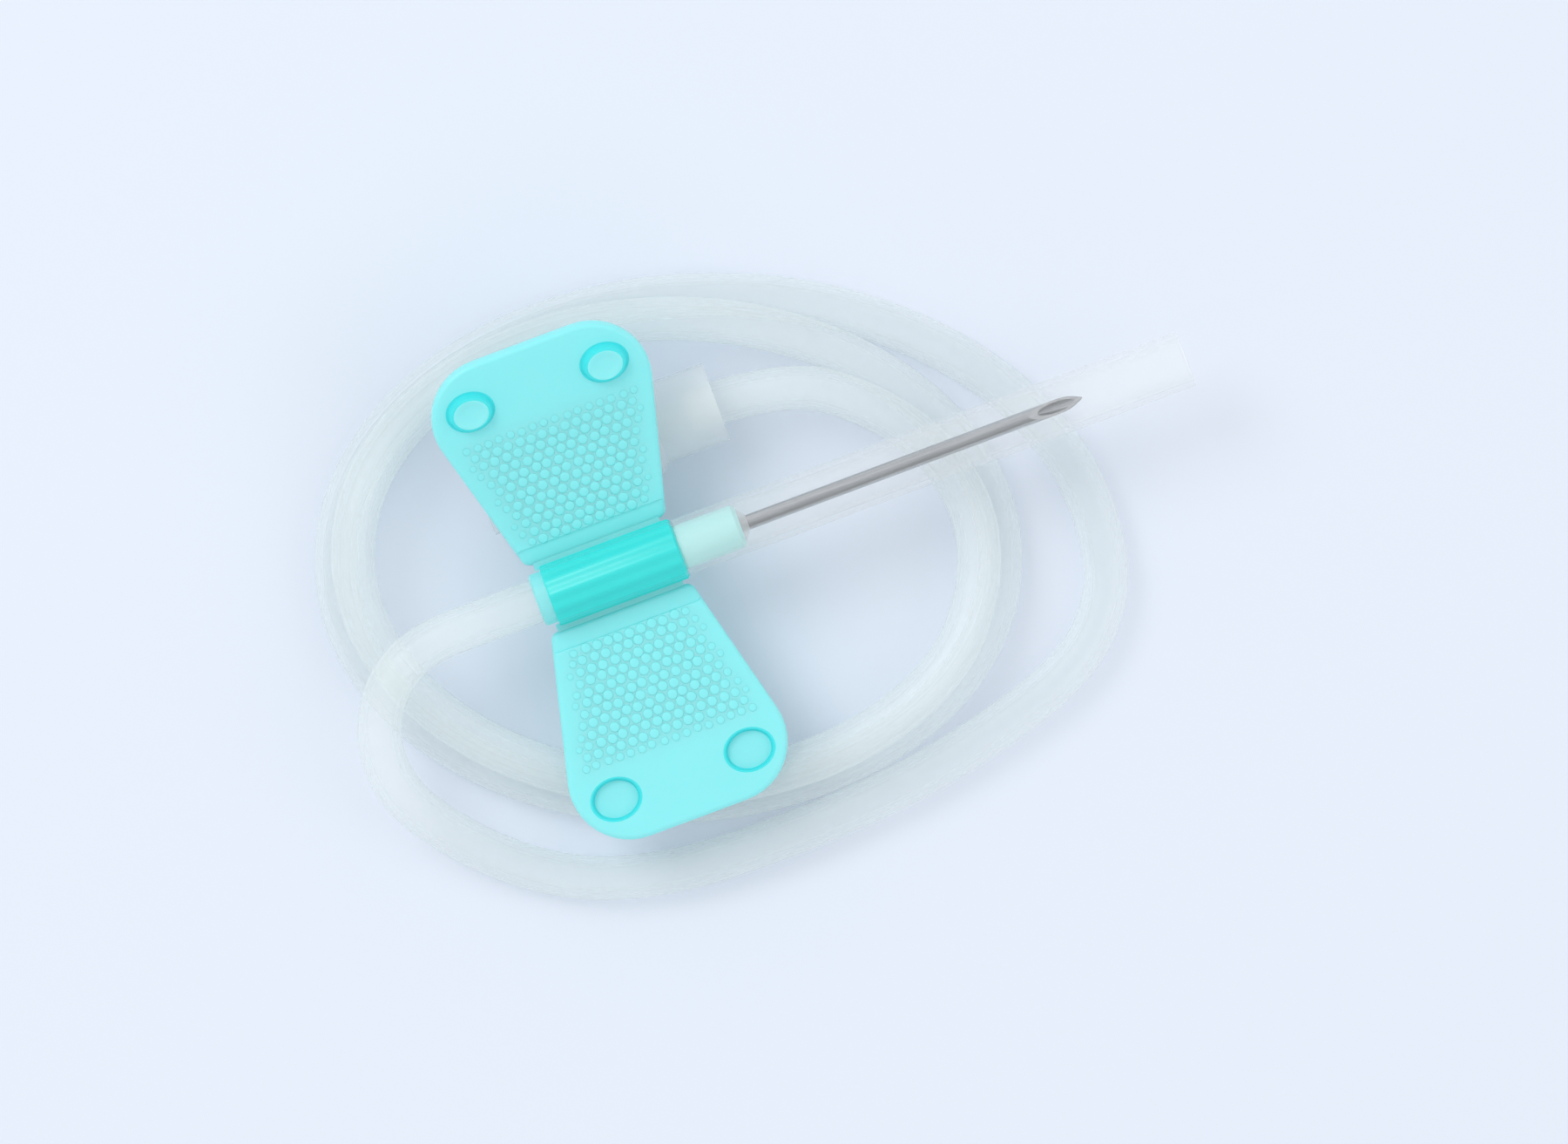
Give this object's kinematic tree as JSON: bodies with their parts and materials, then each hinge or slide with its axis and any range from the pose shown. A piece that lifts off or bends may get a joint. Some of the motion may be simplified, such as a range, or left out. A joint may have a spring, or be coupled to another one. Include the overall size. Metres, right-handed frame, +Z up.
{
  "type": "winged infusion set",
  "caption": "Winged needle set: steel cannula in a clear sheath, folding turquoise grip wings, and a coiled clear tube that ends in a capped female luer connector.",
  "frame": {"origin": "on the surface the set lies on, midway between the wings' rear edges and the sheath's open end, below the needle's axis", "axes": "+X along the needle towards its tip, +Y towards the wing with the pips, +Z up from the surface"},
  "size_m": [0.0476, 0.034, 0.0095],
  "materials": {
    "soft_turquoise": "soft translucent turquoise moulding, fine pebble in the wings' middles",
    "hub_turquoise": "rigid translucent moulding in a lighter turquoise",
    "steel": "ground stainless steel",
    "adhesive": "cured clear adhesive",
    "clear_rigid": "clear rigid plastic",
    "clear_tube": "soft clear tube with a slight milky haze"
  },
  "bodies": {
    "set": {"wing_sleeve": "soft_turquoise", "needle_hub": "hub_turquoise", "cannula": "steel", "cannula_bond": "adhesive", "tubing_lead": "clear_tube", "tubing_coil": "clear_tube", "tubing_tail": "clear_tube", "luer_connector": "clear_rigid"},
    "left_wing": {"wing_left": "soft_turquoise"},
    "right_wing": {"wing_right": "soft_turquoise"},
    "sheath": {"needle_sheath": "clear_rigid"},
    "cap": {"luer_cap": "clear_rigid"}
  },
  "joints": [
    {"name": "left_wing_hinge", "type": "hinge", "parent": "set", "child": "left_wing", "pos_m": [-0.01308, 0.00211, 0.005], "axis": [1, 0, 0], "range_deg": [0, 68], "stiffness_Nm_per_rad": 0.00005},
    {"name": "right_wing_hinge", "type": "hinge", "parent": "set", "child": "right_wing", "pos_m": [-0.01308, -0.00211, 0.005], "axis": [-1, 0, 0], "range_deg": [0, 88], "stiffness_Nm_per_rad": 0.00005},
    {"name": "sheath_pull", "type": "slide", "parent": "set", "child": "sheath", "axis": [1, 0, 0], "range_m": [0, 0.024]},
    {"name": "cap_pull", "type": "slide", "parent": "set", "child": "cap", "axis": [-1, 0, 0], "range_m": [0, 0.0034]}
  ]
}
